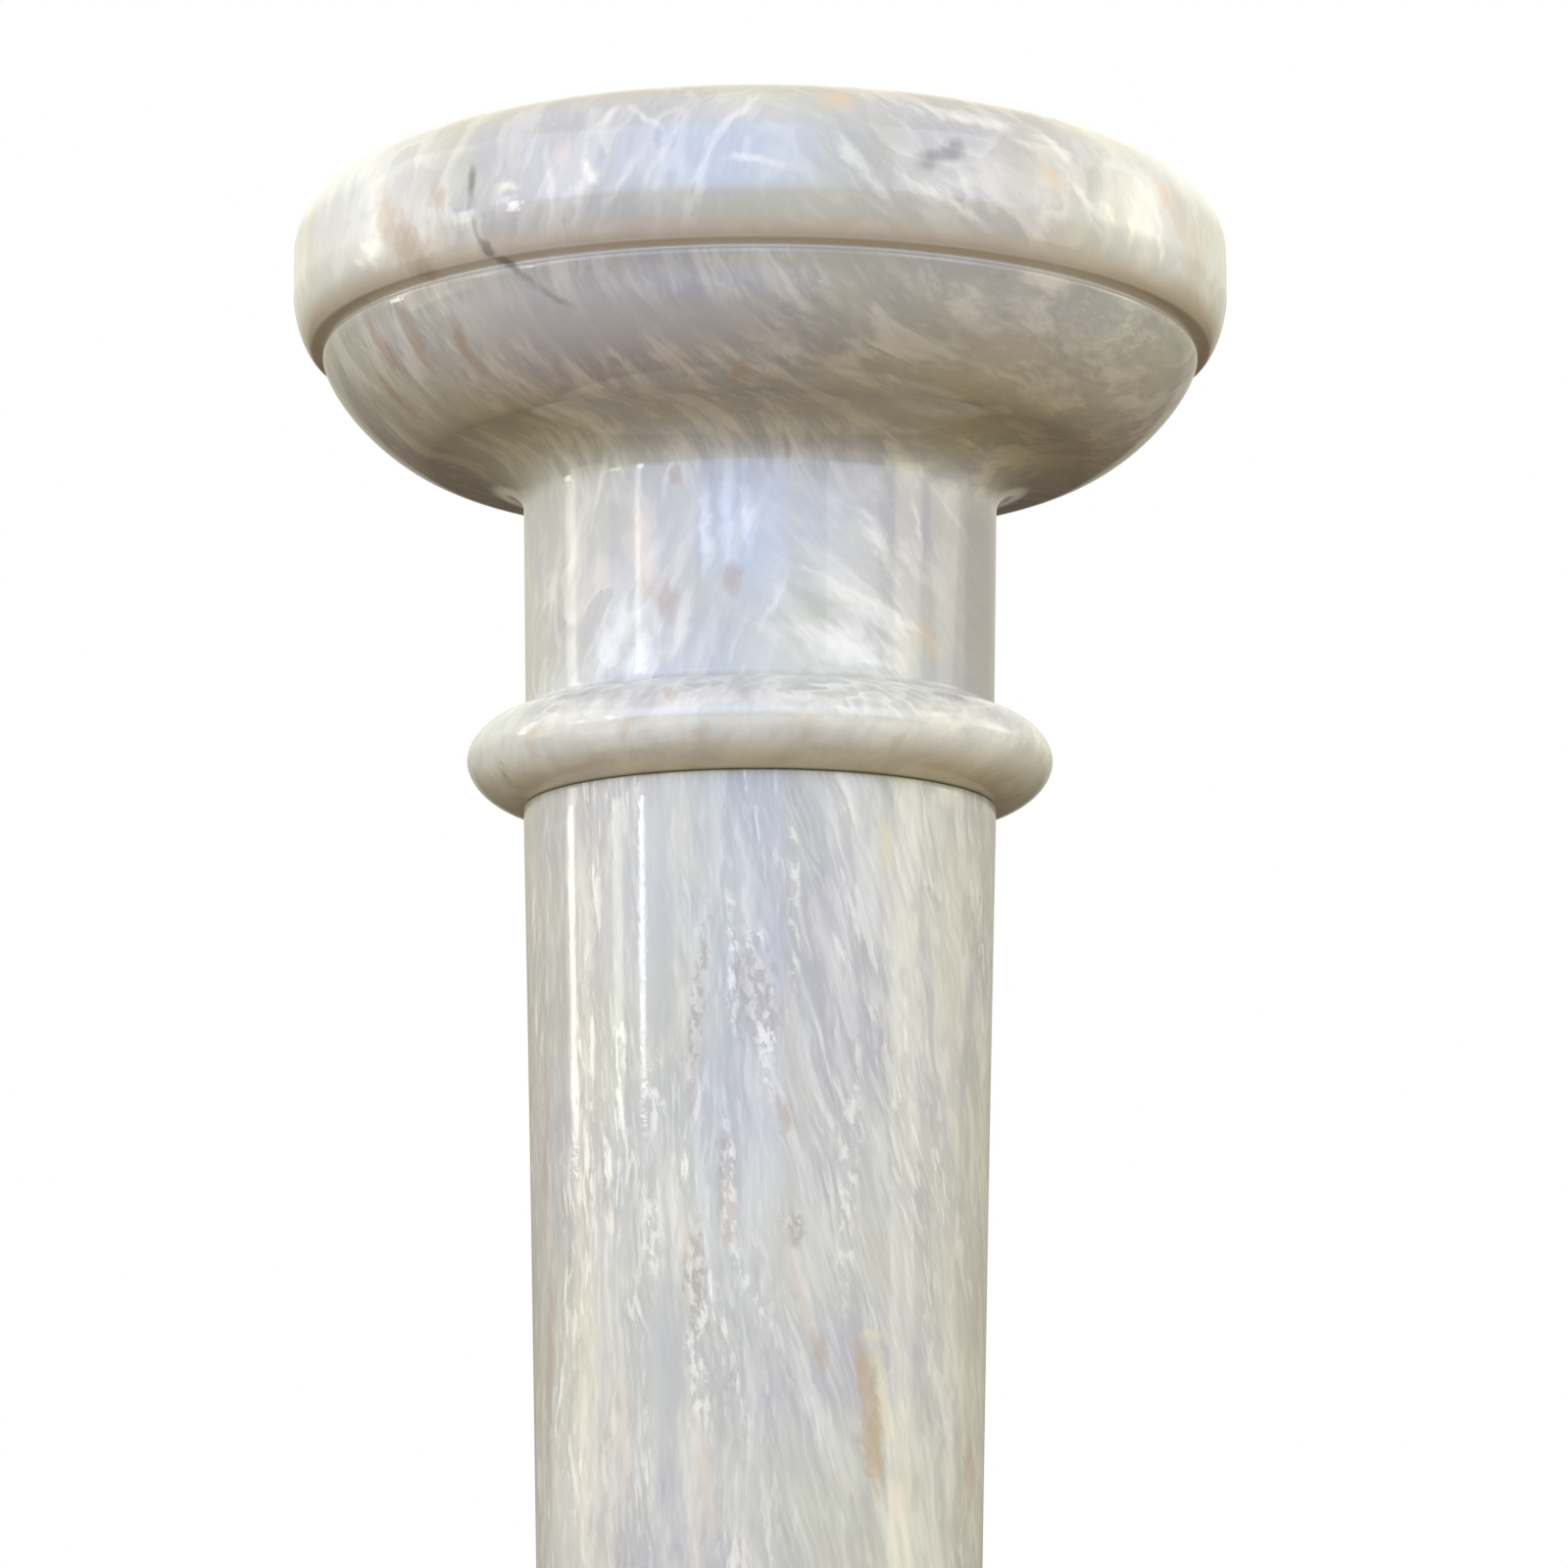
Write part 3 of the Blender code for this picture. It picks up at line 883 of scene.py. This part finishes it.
# Marks on the shaft, in the same way
SHAFT_RUST = (
    (5.8, 0.7329, 0.0060, 0.011, -10), (15, 0.6706, 0.0050, 0.012, -14),
    (67, 0.6430, 0.0080, 0.030, -8), (-67, 0.7290, 0.0060, 0.060, 3), (-66, 0.6690, 0.0070, 0.070, 4),
)
SHAFT_BLUSH = (
    (-18.4, 0.7014, 0.0060, 0.016, 0), (-7.2, 0.7110, 0.0050, 0.030, -4),
    (-36, 0.6500, 0.0050, 0.060, 0), (-13, 0.6350, 0.0060, 0.040, -4), (10, 0.6880, 0.0050, 0.040, -14),
    (36.5, 0.6325, 0.0070, 0.014, 0),
)
SHAFT_STRAW = (
    (31.4, 0.8060, 0.0060, 0.022, -3), (31.5, 0.6620, 0.0060, 0.036, -12),
    (29, 0.6760, 0.0090, 0.006, 0),
)
SHAFT_TAN = (
    (27.2, 0.6640, 0.0090, 0.026, -8), (28.8, 0.6500, 0.0085, 0.030, -10),
)
SHAFT_GRAINS = (
    (-1.4, 0.7660, 0.0120, 0.034, -8), (8, 0.7037, 0.0070, 0.009, 0), (-15, 0.7600, 0.0040, 0.050, 6),
    (-16, 0.6900, 0.0060, 0.030, 0), (-8, 0.7150, 0.0060, 0.030, -4),
)
# White strokes in the stone, and among them two soft painted highlights, at 2 and 8 degrees
SHAFT_MILK_AND_GLOWS = (
    (-7, 0.7120, 0.0030, 0.042, -4), (-2, 0.6870, 0.0030, 0.019, -31),
    (-14.4, 0.6800, 0.0028, 0.018, 23), (-15, 0.6630, 0.0040, 0.026, -11),
    (2, 0.7480, 0.0050, 0.020, -4), (-26, 0.7395, 0.0060, 0.022, 0), (-27, 0.7030, 0.0060, 0.020, -4),
    (-7, 0.7762, 0.0026, 0.040, -2), (-1, 0.7790, 0.0050, 0.006, 0), (8, 0.7900, 0.0030, 0.050, 0),
    (22, 0.7150, 0.0050, 0.060, 3),
)
SHAFT_CALM = (
    (-27, 0.7850, 0.0140, 0.090, 0), (-36, 0.7900, 0.0140, 0.070, 0), (-24, 0.6700, 0.0120, 0.060, 0),
)

# Coats of marks on the shaft, as on the capital
SHAFT_COATS = (
    (SHAFT_BLUSH, BLUSH, 0.50, 0.0030, 0.9, -0.2, 0.8),
    (SHAFT_STRAW, STRAW, 0.70, 0.0030, 0.9, -0.2, 0.8),
    (SHAFT_RUST, RUST, 0.60, 0.0030, 0.9, -0.2, 0.8),
)

# Soft edges of the shaft's zones, and how far its grain bends to and fro
SHAFT_LEFT = (0.018, -0.012)
SHAFT_RIGHT = (-0.012, 0.018)
# Sides of the shaft that are laid darker, as painted shade
SHAFT_SHADED_SIDES = (0.046, 0.064)
SHAFT_LOW_PART = (0.780, 0.720)
SHAFT_BEND = 0.0045


def shaft_onyx(outline):
    """Shaft: white lace along an upright grain, which leans to the right on the right side, with painted
    shade down both sides and two soft painted highlights.
    """
    stone = StonePainter("polished shaft onyx", (0.0, 0.0, 0.4))
    ground_coat(stone)
    across, aside, height = stone.parts()
    calm = stone.fade(marks(stone, outline, SHAFT_CALM), -0.2, 0.5)
    lively = stone.sum("MULTIPLY_ADD", calm, -0.6, 1.0)
    left = stone.both(stone.fade(across, *SHAFT_LEFT), lively)
    right = stone.fade(across, *SHAFT_RIGHT)
    ragged = bedding(
        stone, tilt=(3, -4, 0), along=(1.2, 7.0), contrast=1.0, lace=0.85,
        feather_size=0.0110, feathers=0.30, zone=left, bend=SHAFT_BEND,
    )
    leaning = bedding(
        stone, tilt=(3, -16, 0), along=(1.2, 9.0), contrast=0.75, lace=0.42,
        feather_size=0.0060, feathers=0.35, zone=right, bend=SHAFT_BEND,
    )
    stone.lay(calm, LAVENDER, 0.35)
    stains(stone, leaning)

    loose = stone.grain(stone.warp(stone.block, RAGGED_WAVE, RAGGED_SHIFT), (0, -10, 0), (1.0, 1.0, 2.2))
    grains = stone.fade(stone.noise(loose, SHAFT_GRAIN), 0.46, 0.60)
    rows = stone.fade(stone.noise(ragged, SHAFT_ROW, detail=2.0, roughness=0.5), 0.50, 0.62)
    low = stone.fade(height, *SHAFT_LOW_PART)
    stone.lay(stone.both(rows, grains, low, left), BLUSH, 0.30)
    patches = stone.fray(marks(stone, outline, SHAFT_GRAINS), loose, 0.0035, 0.8, -0.3, 0.5)
    stone.lay(stone.both(patches, stone.sum("SUBTRACT", 1.0, grains)), BARK, 0.52)
    stone.lay(stone.both(patches, grains), BLUSH, 0.30)
    # White strokes, and the soft painted highlights among them
    chains_and_glows = stone.fade(marks(stone, outline, SHAFT_MILK_AND_GLOWS), -0.6, 0.5)
    stone.lay(stone.both(chains_and_glows, grains), MILK_AND_SHEEN, 0.62)
    lay_coats(stone, outline, loose, SHAFT_COATS)
    # Painted shade: both sides of the shaft laid darker, as they turn from the light
    stone.lay(stone.fade(aside, *SHAFT_SHADED_SIDES), ASH_AND_SHADE, 0.20)
    tan = stone.fray(marks(stone, outline, SHAFT_TAN), loose, 0.0030, 0.8, -0.1, 0.6)
    stone.lay(stone.both(tan, stone.level(grains, 1.0, 0.75)), OCHRE, 0.85)
    return polish(stone, ragged)


def base_onyx():
    """Base: the same stone, cut across its bedding, and plainer."""
    stone = StonePainter("polished base onyx", (0.7, 0.3, 0.1))
    ground_coat(stone)
    ragged = bedding(
        stone, tilt=(75, 10, 20), along=(2.5, 5.0), contrast=0.6, lace=0.35,
        feather_size=0.0080, feathers=0.50,
    )
    stains(stone, ragged)
    return polish(stone, ragged)


CAPITAL_OUTLINE = capital_outline()
SHAFT_OUTLINE = shaft_outline()

capital = turned_block(
    "capital_stone", CAPITAL_OUTLINE, "capital", capital_onyx(CAPITAL_OUTLINE), 1,
)
shaft = turned_block(
    "shaft_stone", SHAFT_OUTLINE, "shaft", shaft_onyx(SHAFT_OUTLINE), 2,
)
base = turned_block(
    "base_stone", base_outline(), "base", base_onyx(), 3,
)


# Floor: half its width, its colour and its roughness
FLOOR_HALF = 40.0
FLOOR_COLOUR = (0.60, 0.61, 0.66, 1.0)
FLOOR_ROUGHNESS = 0.8


def pale_floor():
    """Matt pale floor that runs well past the column."""
    low, high = -FLOOR_HALF, FLOOR_HALF
    corners = [(low, low, 0), (high, low, 0), (high, high, 0), (low, high, 0)]
    mesh = bpy.data.meshes.new("floor")
    mesh.from_pydata(corners, [], [(0, 1, 2, 3)])
    floor = bpy.data.objects.new("floor", mesh)
    bpy.context.scene.collection.objects.link(floor)
    paint = bpy.data.materials.new("pale floor paint")
    paint.use_nodes = True
    shader = paint.node_tree.nodes["Principled BSDF"]
    shader.inputs["Base Color"].default_value = FLOOR_COLOUR
    shader.inputs["Roughness"].default_value = FLOOR_ROUGHNESS
    mesh.materials.append(paint)
    floor.visible_diffuse = False
    floor.visible_glossy = False
    floor.visible_shadow = False


def softbox(name, azimuth, distance, height, size, power, colour=(1, 1, 1), spread=180, aim=0.85,
            shape="RECTANGLE"):
    """Area light at an azimuth from the front, in degrees to the right, aimed at a height on the axis."""
    light = bpy.data.lights.new(name, "AREA")
    light.shape = shape
    light.size, light.size_y = size
    light.energy = power
    light.color = colour
    light.spread = math.radians(spread)
    lamp = bpy.data.objects.new(name, light)
    turn = math.radians(azimuth)
    lamp.location = (distance * math.sin(turn), -distance * math.cos(turn), height)
    lamp.rotation_euler = (Vector((0, 0, aim)) - lamp.location).to_track_quat("-Z", "Y").to_euler()
    lamp.visible_camera = False
    bpy.context.scene.collection.objects.link(lamp)
    return lamp


def studio_lights():
    """Soft lights in front and at the right, and tall narrow ones at the left for the upright glints.

    Each has its azimuth, distance, height, size, power and colour, in that order.
    """
    softbox("cool front light", -10, 2.6, 1.6, (2.2, 1.6), 5.0, (0.16, 0.34, 1.0), spread=80)
    softbox("left front light", -45, 2.4, 1.7, (1.2, 1.4), 2.4, (0.66, 0.65, 1.0), spread=80)
    softbox("right front light", 45, 2.4, 1.7, (1.2, 1.4), 2.3, (0.87, 0.84, 1.0), spread=80)
    softbox("left strip", -103, 1.6, 0.975, (0.13, 0.25), 0.70, (0.98, 1.0, 0.88), aim=0.975)
    softbox("left high strip", -103, 1.6, 1.35, (0.22, 0.50), 0.85, (1.0, 0.98, 0.84), aim=1.35)
    softbox("left warm strip", -72, 1.6, 0.98, (0.17, 0.24), 0.55, (0.97, 1.0, 0.72), aim=0.98)
    softbox("left cool strip", -58, 1.6, 0.98, (0.08, 0.24), 0.65, (0.93, 0.97, 1.0), aim=0.98)
    softbox("left cool high strip", -60, 1.6, 1.22, (0.08, 0.24), 0.32, (0.95, 0.96, 1.0), aim=1.22)
    softbox("left fill", -62, 1.8, 1.4, (0.8, 1.6), 3.2, (1.0, 0.92, 0.75))
    softbox("left light", -90, 1.8, 1.2, (0.9, 1.8), 7.5, (1.0, 0.84, 0.52))
    softbox("right light", 106, 1.8, 1.2, (0.7, 1.8), 2.3, (1.0, 0.95, 0.95))
    softbox("right front strip", 75, 1.8, 1.2, (0.5, 1.8), 5.8, (1.0, 0.84, 0.54))
    softbox("right lamp", 100, 1.8, 1.50, (0.95, 0.75), 2.2, (1.0, 0.92, 0.76), shape="ELLIPSE")
    softbox("right small lamp", 102, 1.8, 1.42, (0.40, 0.32), 0.5, (1.0, 0.92, 0.76), shape="ELLIPSE")


# Bands of the dome, by how far up the view points: -1 is straight down and 1 straight up
DOME_FRONT = (-0.3, 0.3)
DOME_FOOT = (-0.75, -0.45)
DOME_HORIZON = (-0.04, 0.04)
DOME_SKY = (0.05, 0.45)
DOME_CROWN = (0.45, 0.80)

# Colours of its light, from straight down to straight up, and of the paper that shows beyond the floor
UNDERFOOT = (0.15, 0.04, 0.01)
GLOW_BEHIND = (0.09, 0.08, 0.07)
GLOW_IN_FRONT = (0.665, 0.505, 0.07)
HORIZON_BEHIND = (0.38, 0.35, 0.285)
HORIZON_IN_FRONT = (1.257, 1.45, 1.56)
SKY = (1.235, 1.235, 1.09)
CROWN = (0.956, 0.793, 0.42)
PAPER = (1, 1, 1, 1)


def studio_air():
    """Dome of light: dark ground below, bright in front and above, dim behind; white paper beyond."""
    world = bpy.data.worlds.new("studio air")
    world.use_nodes = True
    bpy.context.scene.world = world
    tree = world.node_tree
    tree.nodes.clear()
    way = add_node(tree, "ShaderNodeTexCoord").outputs["Generated"]
    part = add_node(tree, "ShaderNodeSeparateXYZ", {"Vector": way}).outputs
    front = rise(tree, math_node(tree, "ShaderNodeMath", "MULTIPLY", part["Y"], -1.0), *DOME_FRONT)
    floor_glow = mix_colours(tree, front, GLOW_BEHIND, GLOW_IN_FRONT)
    horizon = mix_colours(tree, front, HORIZON_BEHIND, HORIZON_IN_FRONT)
    ground = mix_colours(tree, rise(tree, part["Z"], *DOME_FOOT), UNDERFOOT, floor_glow)
    low = mix_colours(tree, rise(tree, part["Z"], *DOME_HORIZON), ground, horizon)
    sky = mix_colours(tree, rise(tree, part["Z"], *DOME_SKY), low, SKY)
    dome = mix_colours(tree, rise(tree, part["Z"], *DOME_CROWN), sky, CROWN)
    light = add_node(tree, "ShaderNodeBackground", {"Color": dome})
    paper = add_node(tree, "ShaderNodeBackground", {"Color": PAPER})
    seen = add_node(tree, "ShaderNodeLightPath").outputs["Is Camera Ray"]
    mix = add_node(tree, "ShaderNodeMixShader", {0: seen, 1: light.outputs[0], 2: paper.outputs[0]})
    add_node(tree, "ShaderNodeOutputWorld", {"Surface": mix.outputs[0]})


# Camera, below the capital and looking up at it
CAMERA_DISTANCE = 1.5147
CAMERA_HEIGHT = 0.5662
CAMERA_PITCH = 9.94
CAMERA_YAW = 0.25
CAMERA_NEAR = 0.05
SENSOR = 36.0
FOCAL_PIXELS = 5700
PHOTO_PIXELS = 1600


def photo_camera():
    """Camera at the photograph's viewing angle."""
    data = bpy.data.cameras.new("camera")
    data.sensor_width = SENSOR
    data.lens = SENSOR * FOCAL_PIXELS / PHOTO_PIXELS
    data.clip_start = CAMERA_NEAR
    camera = bpy.data.objects.new("camera", data)
    camera.location = (0.0, -CAMERA_DISTANCE, CAMERA_HEIGHT)
    camera.rotation_euler = (math.radians(90 + CAMERA_PITCH), 0.0, math.radians(-CAMERA_YAW))
    bpy.context.scene.collection.objects.link(camera)
    bpy.context.scene.camera = camera


pale_floor()
studio_lights()
studio_air()
photo_camera()
bpy.context.scene.view_settings.view_transform = "Standard"
